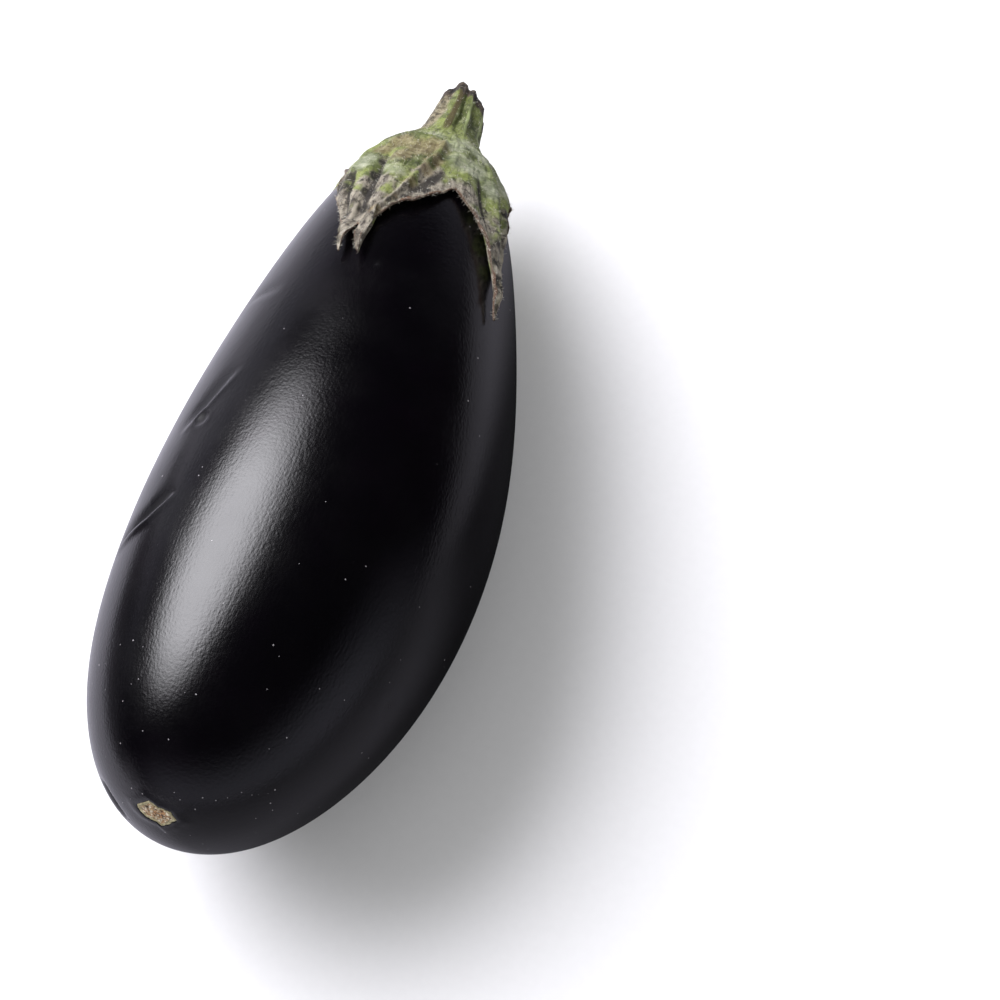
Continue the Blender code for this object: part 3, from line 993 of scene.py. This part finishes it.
def calyx_material():
    """Green flesh dried to grey-tan at the sepals' tips, with rusty folds, mottling and a corky stem, painted
    shade in the grooves and painted sheen on the cap.
    """
    calyx = bpy.context.scene.eggplant_calyx
    made, tree, shader = new_material("calyx and stem", 0.62)
    place = own_place(tree)
    mark = {key: attribute(tree, key) for key in MARKS if key not in ("round", "reach")}
    fibres = noise(tree, attribute(tree, "fibres", "Vector"), 1.0, 6.0, 0.7)
    rings = noise(tree, attribute(tree, "rings", "Vector"), 1.0, 6.0, 0.7)
    grit = noise(tree, place, 620.0, 8.0, 0.75)
    wander = noise(tree, place, 150.0, 6.0)

    def swayed(value, cause, sway):
        """The value moved up and down by noise."""
        return plus(tree, value, times(tree, maths(tree, "SUBTRACT", cause, 0.5), sway))

    def masked(name, low, high, amount=1.0, cause=grit, sway=1.1):
        """A painted mask with its edge broken up by noise."""
        return times(tree, spread(tree, swayed(mark[name], cause, sway), low, high), amount)

    def grained(value, low, high, dark, light):
        """Dark where the noise is low, and light where it is high."""
        return mixed(tree, spread(tree, value, low, high), dark, light)

    patch = grouped(tree, blotches_group(), Vector=place, Scale=120.0, Low=0.38, High=0.62)
    green = mixed(tree, patch, calyx.deep, calyx.fresh)
    green = mixed(tree, times(tree, spread(tree, rings, 0.45, 0.68), 0.5), green, (0.33, 0.35, 0.20))
    green = mixed(tree, times(tree, spread(tree, grit, 0.50, 0.38), 0.75), green, (0.020, 0.026, 0.008))
    dried = grained(fibres, 0.38, 0.60, (0.085, 0.070, 0.050), calyx.dried)
    dried = mixed(tree, times(tree, spread(tree, grit, 0.53, 0.63), 0.6), dried, (0.36, 0.34, 0.28))
    dried = mixed(tree, times(tree, spread(tree, grit, 0.48, 0.41), 0.9), dried, (0.022, 0.016, 0.011))
    dryness = plus(tree, times(tree, mark["along"], 0.68), times(tree, mark["long"], 0.24))
    body = mixed(tree, spread(tree, swayed(dryness, wander, 1.1), 0.46, 0.62), green, dried)

    weave = times(tree, plus(tree, rings, grit, fibres), 1 / 3)
    burnt = times(tree, spread(tree, mark["along"], 0.975, 0.998), 0.8, spread(tree, wander, 0.40, 0.6))
    fuzz = grouped(tree, specks_group(), Vector=place, Scale=1100.0, Size=0.24, Share=0.14)
    for mask, finish in (
        (masked("rust", 0.40, 0.80, 0.75, grit, 0.9),
         grained(weave, 0.44, 0.56, (0.110, 0.072, 0.030), (0.255, 0.210, 0.110))),
        # Painted sheen: whitish patches on the green cap.
        (masked("painted_sheen", 0.30, 0.80, 0.62, grit, 0.9),
         grained(rings, 0.36, 0.64, (0.215, 0.245, 0.140), (0.38, 0.39, 0.30))),
        # Dark mottling, partly painted shade along the grooves.
        (masked("mottle_and_shade", 0.35, 0.60, 0.95),
         grained(grit, 0.50, 0.60, (0.013, 0.010, 0.007), (0.170, 0.150, 0.100))),
        # Painted shade: near-black in the calyx's grooves.
        (masked("hollow", 0.50, 0.85, 0.9, grit, 0.8), (0.012, 0.009, 0.006)),
        (masked("corky", 0.30, 0.70, 0.9, wander), grained(grit, 0.40, 0.62, calyx.bark, (0.33, 0.28, 0.19))),
        (masked("stripe", 0.40, 0.80, 0.85, fibres), (0.062, 0.040, 0.010)),
        (masked("pale", 0.45, 0.90, 0.7, fibres), (0.32, 0.38, 0.15)),
        (masked("tip", 0.35, 0.75), grained(grit, 0.42, 0.62, (0.008, 0.006, 0.004), (0.085, 0.060, 0.040))),
        (mark["cut"], grained(grit, 0.40, 0.62, (0.010, 0.008, 0.006), (0.060, 0.045, 0.032))),
        (burnt, (0.130, 0.052, 0.018)),
        (times(tree, mark["rim"], 0.8), (0.060, 0.028, 0.014)),
        (times(tree, fuzz, 0.5), (0.50, 0.50, 0.44)),
    ):
        body = mixed(tree, mask, body, finish)
    tree.links.new(body, shader.inputs["Base Color"])
    tree.links.new(spread(tree, fibres, 0.3, 0.7, 0.45, 0.72), shader.inputs["Roughness"])
    bumped(tree, shader, plus(tree, times(tree, fibres, 0.7), grit, times(tree, rings, 0.6)), 0.0007)
    return made


class EGGPLANT_OT_calyx(bpy.types.Operator):
    """Builds the calyx and the stem as one surface, from the cut end to the sepals' edges and underside"""

    bl_idname = "eggplant.calyx"
    bl_label = "Calyx and Stem"

    def execute(self, context):
        rows, marks, cut_middle = calyx_rows()
        pole, _ = skin(np.array(np.pi), np.array(0.0), np.array(0.1 * MM))
        attributes = {}
        for key, values in marks.items():
            ends = [1.0 if key == "cut" else values[0].mean(), values[-1].mean()]
            attributes[key] = np.append(values.ravel(), ends)
        turn = 2 * np.pi * attributes.pop("round")
        reach = attributes.pop("reach")
        attributes["fibres"] = np.stack([20 * np.cos(turn), 20 * np.sin(turn), reach * 130], axis=-1)
        attributes["rings"] = np.stack([5 * np.cos(turn), 5 * np.sin(turn), reach * 620], axis=-1)
        made = closed_grid("calyx_and_stem", rows, cut_middle, pole, attributes)
        made.data.materials.append(calyx_material())
        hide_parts("calyx", "stem")
        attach(made, "root")
        return {"FINISHED"}


# ---------------------------------------------------------------- hairs


def hair_material():
    """Straw to off-white."""
    made, tree, shader = new_material("pale hairs", 0.5)
    tint = noise(tree, own_place(tree), 300.0)
    shade = mixed(tree, spread(tree, tint, 0.3, 0.7), (0.30, 0.27, 0.20), (0.55, 0.54, 0.48))
    tree.links.new(shade, shader.inputs["Base Color"])
    return made


def unit(vectors):
    """The vectors at a length of one."""
    return vectors / np.linalg.norm(vectors, axis=-1, keepdims=True)


class EGGPLANT_OT_hairs(bpy.types.Operator):
    """Scatters short pale hairs over the calyx and the stem, thickest along the sepals' edges"""

    bl_idname = "eggplant.hairs"
    bl_label = "Calyx Hairs"

    def execute(self, context):
        mesh = bpy.data.objects["calyx_and_stem"].data
        count = len(mesh.polygons)
        found = {"center": np.empty(count * 3), "normal": np.empty(count * 3), "area": np.empty(count)}
        for key, values in found.items():
            mesh.polygons.foreach_get(key, values)
        first = CALYX_COLUMNS * (CUT_ROWS - 1)
        last = CALYX_COLUMNS * (CUT_ROWS + STEM_ROWS + WEB_ROWS + SEPAL_ROWS + EDGE_ROWS - 1)
        weight = np.zeros(count)
        weight[first:last] = found["area"][first:last]
        weight[last - CALYX_COLUMNS * (EDGE_ROWS + EDGE_HAIR_ROWS):last] *= EDGE_HAIRS
        chance = np.random.default_rng(3)
        picked = chance.choice(count, HAIRS, p=weight / weight.sum())
        root, out = (found[key].reshape(-1, 3)[picked] for key in ("center", "normal"))
        # Each hair leans off the skin's normal at random, and its outer half bends off once more.
        direction = unit(out + chance.normal(0, 0.75, (HAIRS, 3)))
        length = chance.uniform(*HAIR_LENGTHS, HAIRS)[:, None] * MM
        bent = unit(direction + 0.6 * chance.normal(0, 0.5, (HAIRS, 3)))
        side = unit(np.cross(direction, [0.3, 0.5, 0.8]))
        other = np.cross(direction, side)
        turn = np.arange(HAIR_SIDES) * 2 * np.pi / HAIR_SIDES
        ring = np.cos(turn)[None, :, None] * side[:, None] + np.sin(turn)[None, :, None] * other[:, None]
        low = (root - 0.1 * MM * direction)[:, None] + HAIR_FOOT * MM * ring
        mid = (root + 0.5 * length * direction)[:, None] + HAIR_HALFWAY * MM * ring
        peak = (root + 0.5 * length * direction + 0.5 * length * bent)[:, None]
        points = np.concatenate([low, mid, peak], axis=1)
        start = (np.arange(HAIRS) * points.shape[1])[:, None]
        here, there = np.arange(HAIR_SIDES), (np.arange(HAIR_SIDES) + 1) % HAIR_SIDES
        quads = np.stack([here, there, there + HAIR_SIDES, here + HAIR_SIDES], axis=-1)
        tips = np.stack([here + HAIR_SIDES, there + HAIR_SIDES, np.full(HAIR_SIDES, 2 * HAIR_SIDES)], axis=-1)
        foot = here[::-1][None]
        faces = [(start[..., None] + each[None]).reshape(-1, each.shape[1]) for each in (quads, tips, foot)]
        made = mesh_object("calyx_hairs", points.reshape(-1, 3), faces)
        made.data.materials.append(hair_material())
        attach(made, "root")
        return {"FINISHED"}


# ---------------------------------------------------------------- stage


def floor_material(tint, shine):
    """Pale paper. In glossy skin it shows a painted reflection: bright on the left, dimmer behind and in
    front, and dark beyond.
    """
    made, tree, shader = new_material("paper floor", 0.9)
    place = own_place(tree)
    tooth = noise(tree, place, 400.0, 3.0)
    shade = mixed(tree, spread(tree, tooth, 0.3, 0.7), [value * 0.985 for value in tint], tint)
    # To glossy rays the floor takes a painted reflection colour, set by its place on the floor.
    glossy = node(tree, "ShaderNodeLightPath").outputs["Is Glossy Ray"]
    axes = node(tree, "ShaderNodeSeparateXYZ", {"Vector": place}).outputs
    beside = maths(tree, "ABSOLUTE", plus(tree, axes["X"], 0.10))
    forward = maths(tree, "SUBTRACT", times(tree, axes["X"], 0.6), times(tree, axes["Y"], 0.8))
    bright = maths(
        tree, "MAXIMUM", spread(tree, beside, 0.13, 0.05), spread(tree, forward, 0.05, 0.13, 0.0, 0.40),
        spread(tree, axes["Y"], 0.05, 0.14, 0.0, 0.6),
    )
    painted_reflection_colour = [value * shine * cool for value, cool in zip(tint, (0.93, 0.91, 1.0))]
    painted_reflection = mixed(tree, bright, [value * 0.08 for value in painted_reflection_colour], painted_reflection_colour)
    tree.links.new(mixed(tree, glossy, shade, painted_reflection), shader.inputs["Base Color"])
    shader.inputs["Specular IOR Level"].default_value = 0.1
    return made


def studio_world(strength):
    """Pale to the camera, soft light on matte surfaces, and dark in reflections but for two low glows."""
    world = bpy.data.worlds.new("studio")
    bpy.context.scene.world = world
    world.use_nodes = True
    tree = world.node_tree
    tree.nodes.clear()
    toward = node(tree, "ShaderNodeTexCoord").outputs["Generated"]
    ahead = node(tree, "ShaderNodeVectorMath", {0: toward, 1: (0.6, -0.8, 0.0)}, operation="DOT_PRODUCT")
    ahead = ahead.outputs["Value"]
    height = node(tree, "ShaderNodeSeparateXYZ", {"Vector": toward}).outputs["Z"]
    front = times(tree, spread(tree, height, 0.60, 0.15), spread(tree, ahead, 0.1, 0.8, 0.0, 0.55))
    behind = times(tree, spread(tree, height, 0.35, 0.0), spread(tree, ahead, -0.3, -0.9, 0.0, 0.6))
    glow = plus(tree, front, behind, 0.008)

    def sky(tint, power):
        """A background of one colour."""
        return node(tree, "ShaderNodeBackground", {"Color": (*tint, 1), "Strength": power}).outputs[0]

    def chosen(ray, first, second):
        """The second background for one kind of ray, and the first for the others."""
        kind = node(tree, "ShaderNodeLightPath").outputs[ray]
        return node(tree, "ShaderNodeMixShader", {0: kind, 1: first, 2: second}).outputs[0]

    for_matte = chosen("Is Glossy Ray", sky((1, 1, 1), strength), sky((0.85, 0.84, 1.0), glow))
    shown = chosen("Is Camera Ray", for_matte, sky((0.95, 0.95, 0.96), 1.0))
    node(tree, "ShaderNodeOutputWorld", {"Surface": shown})


def direction(azimuth, elevation):
    """From the fruit towards a light or camera; azimuth 0 is on the -Y side and 90 degrees on the +X side."""
    flat = math.cos(elevation)
    return Vector((math.sin(azimuth) * flat, -math.cos(azimuth) * flat, math.sin(elevation)))


def softbox(name, power, middle):
    """A large soft light whose brightness falls smoothly from its middle to its edge."""
    azimuth, elevation, distance, width, height = SOFTBOX
    light = bpy.data.lights.new(name, "AREA")
    light.shape = "RECTANGLE"
    light.size, light.size_y, light.energy = width, height, power
    light.color = SOFTBOX_COLOUR
    light.use_nodes = True
    tree = light.node_tree
    spot = node(tree, "ShaderNodeNewGeometry").outputs["Parametric"]
    for operation, value in (("SUBTRACT", (0.5, 0.5, 0.0)), ("MULTIPLY", (2.0, 2.0, 0.0))):
        spot = node(tree, "ShaderNodeVectorMath", {0: spot, 1: value}, operation=operation).outputs["Vector"]
    away = node(tree, "ShaderNodeVectorMath", {0: spot}, operation="LENGTH").outputs["Value"]
    tree.links.new(spread(tree, away, 0.98, 0.32), tree.nodes["Emission"].inputs["Strength"])
    made = bpy.data.objects.new(name, light)
    bpy.context.scene.collection.objects.link(made)
    back = direction(math.radians(azimuth), math.radians(elevation))
    made.location = middle + back * distance
    made.rotation_euler = (-back).to_track_quat("-Z", "Y").to_euler()
    made.visible_camera = False


class EGGPLANT_OT_stage(bpy.types.Operator):
    """Adds the pale floor, the soft studio light and the camera"""

    bl_idname = "eggplant.stage"
    bl_label = "Floor, Light and Camera"

    def execute(self, context):
        stage = context.scene.eggplant_stage
        side = FLOOR_SIDE / 2
        corners = np.array([[-side, -side, 0], [side, -side, 0], [side, side, 0], [-side, side, 0]])
        floor = mesh_object("floor", corners, [np.array([[0, 1, 2, 3]])])
        floor.data.materials.append(floor_material(stage.floor, stage.floor_shine))

        place = resting_place()
        middle = Vector((place[0], place[1], context.scene.eggplant_fruit.diameter / 2))
        softbox("left_softbox", stage.softbox_power, middle)
        studio_world(stage.ambient)

        back = direction(stage.azimuth, stage.elevation)
        right = (-back).cross(Vector((0, 0, 1))).normalized()
        up = right.cross(-back)
        lens = bpy.data.cameras.new("camera")
        lens.lens = LENS
        camera = bpy.data.objects.new("camera", lens)
        context.scene.collection.objects.link(camera)
        camera.location = middle + back * stage.distance
        aim = middle + right * stage.aim_right + up * stage.aim_up
        forward = (aim - camera.location).normalized()
        camera.rotation_euler = forward.to_track_quat("-Z", "Y").to_euler()
        context.scene.camera = camera
        context.scene.view_settings.view_transform = "Standard"
        return {"FINISHED"}


# ---------------------------------------------------------------- add-on


class EGGPLANT_PT_panel(bpy.types.Panel):
    bl_label = "Eggplant"
    bl_idname = "EGGPLANT_PT_panel"
    bl_space_type = "VIEW_3D"
    bl_region_type = "UI"
    bl_category = "Eggplant"

    def draw(self, context):
        for operator in OPERATORS:
            self.layout.operator(operator.bl_idname)
        for key, settings in SETTINGS.items():
            box = self.layout.box()
            for name in settings.__annotations__:
                box.prop(getattr(context.scene, key), name)


OPERATORS = (EGGPLANT_OT_fruit, EGGPLANT_OT_scar, EGGPLANT_OT_calyx, EGGPLANT_OT_hairs, EGGPLANT_OT_stage)
CLASSES = (*SETTINGS.values(), *OPERATORS, EGGPLANT_PT_panel)


def register():
    for cls in CLASSES:
        bpy.utils.register_class(cls)
    for key, settings in SETTINGS.items():
        setattr(bpy.types.Scene, key, PointerProperty(type=settings))


def unregister():
    for key in SETTINGS:
        delattr(bpy.types.Scene, key)
    for cls in reversed(CLASSES):
        bpy.utils.unregister_class(cls)


def main():
    register()
    bpy.ops.eggplant.fruit()
    bpy.ops.eggplant.scar()
    bpy.ops.eggplant.calyx()
    bpy.ops.eggplant.hairs()
    bpy.ops.eggplant.stage()


if __name__ == "__main__":
    main()
